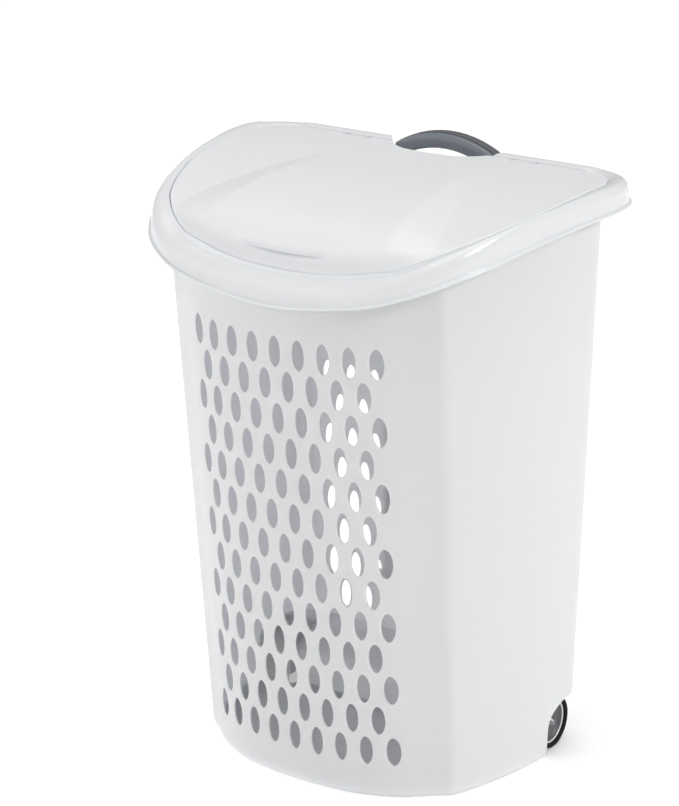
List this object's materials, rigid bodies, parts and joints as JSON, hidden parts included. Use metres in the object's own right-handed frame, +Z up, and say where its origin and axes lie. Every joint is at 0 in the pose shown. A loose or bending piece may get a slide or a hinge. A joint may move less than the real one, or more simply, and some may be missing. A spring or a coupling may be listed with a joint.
{
  "type": "laundry hamper",
  "caption": "Tall tapered plastic laundry hamper with a vented body, a hinged lid, a pull-up rear handle and wheels under the back edge.",
  "frame": {"origin": "on the floor, under the middle of the overall bounding box", "axes": "+Z up, -Y towards the vented front, +X to the right as seen by someone facing the front; the hamper is symmetric about the plane X = 0"},
  "size_m": [0.5108, 0.3906, 0.6795],
  "materials": {
    "white_body": "satin moulded",
    "white_lid": "satin moulded",
    "white_rim": "semi-gloss moulded",
    "zinc_pin": "zinc plated",
    "dark_grey_frame": "satin moulded",
    "grey_grip": "semi-gloss moulded",
    "wheel_grey": "satin moulded",
    "tyre_black": "matt",
    "zinc_screw": "zinc plated",
    "zinc_axle": "zinc plated"
  },
  "bodies": {
    "tub": {"hamper_tub": "white_body", "rim_collar": "white_rim", "handle_guide_cover": "white_body", "cover_screw_left_lower": "zinc_screw", "cover_screw_left_upper": "zinc_screw", "cover_screw_right_lower": "zinc_screw", "cover_screw_right_upper": "zinc_screw", "hinge_pin_left": "zinc_pin", "hinge_pin_right": "zinc_pin", "axle": "zinc_axle", "axle_cap_left": "zinc_axle", "axle_cap_right": "zinc_axle"},
    "lid": {"lid": "white_lid"},
    "handle": {"handle_frame": "dark_grey_frame", "handle_grip": "grey_grip", "handle_stop_bar": "dark_grey_frame", "stop_bar_screw_left": "zinc_screw", "stop_bar_screw_right": "zinc_screw"},
    "left_wheel": {"wheel_left": "wheel_grey", "tyre_left": "tyre_black"},
    "right_wheel": {"wheel_right": "wheel_grey", "tyre_right": "tyre_black"}
  },
  "joints": [
    {"name": "lid_hinge", "type": "hinge", "parent": "tub", "child": "lid", "pos_m": [0, 0.1402, 0.6632], "axis": [-1, 0, 0], "range_deg": [0, 90]},
    {"name": "handle_slide", "type": "slide", "parent": "tub", "child": "handle", "axis": [0, 0, 1], "range_m": [0, 0.2]},
    {"name": "left_wheel_spin", "type": "hinge", "parent": "tub", "child": "left_wheel", "pos_m": [-0.184, 0.0953, 0.031], "axis": [1, 0, 0], "continuous": true},
    {"name": "right_wheel_spin", "type": "hinge", "parent": "tub", "child": "right_wheel", "pos_m": [0.184, 0.0953, 0.031], "axis": [1, 0, 0], "continuous": true}
  ]
}
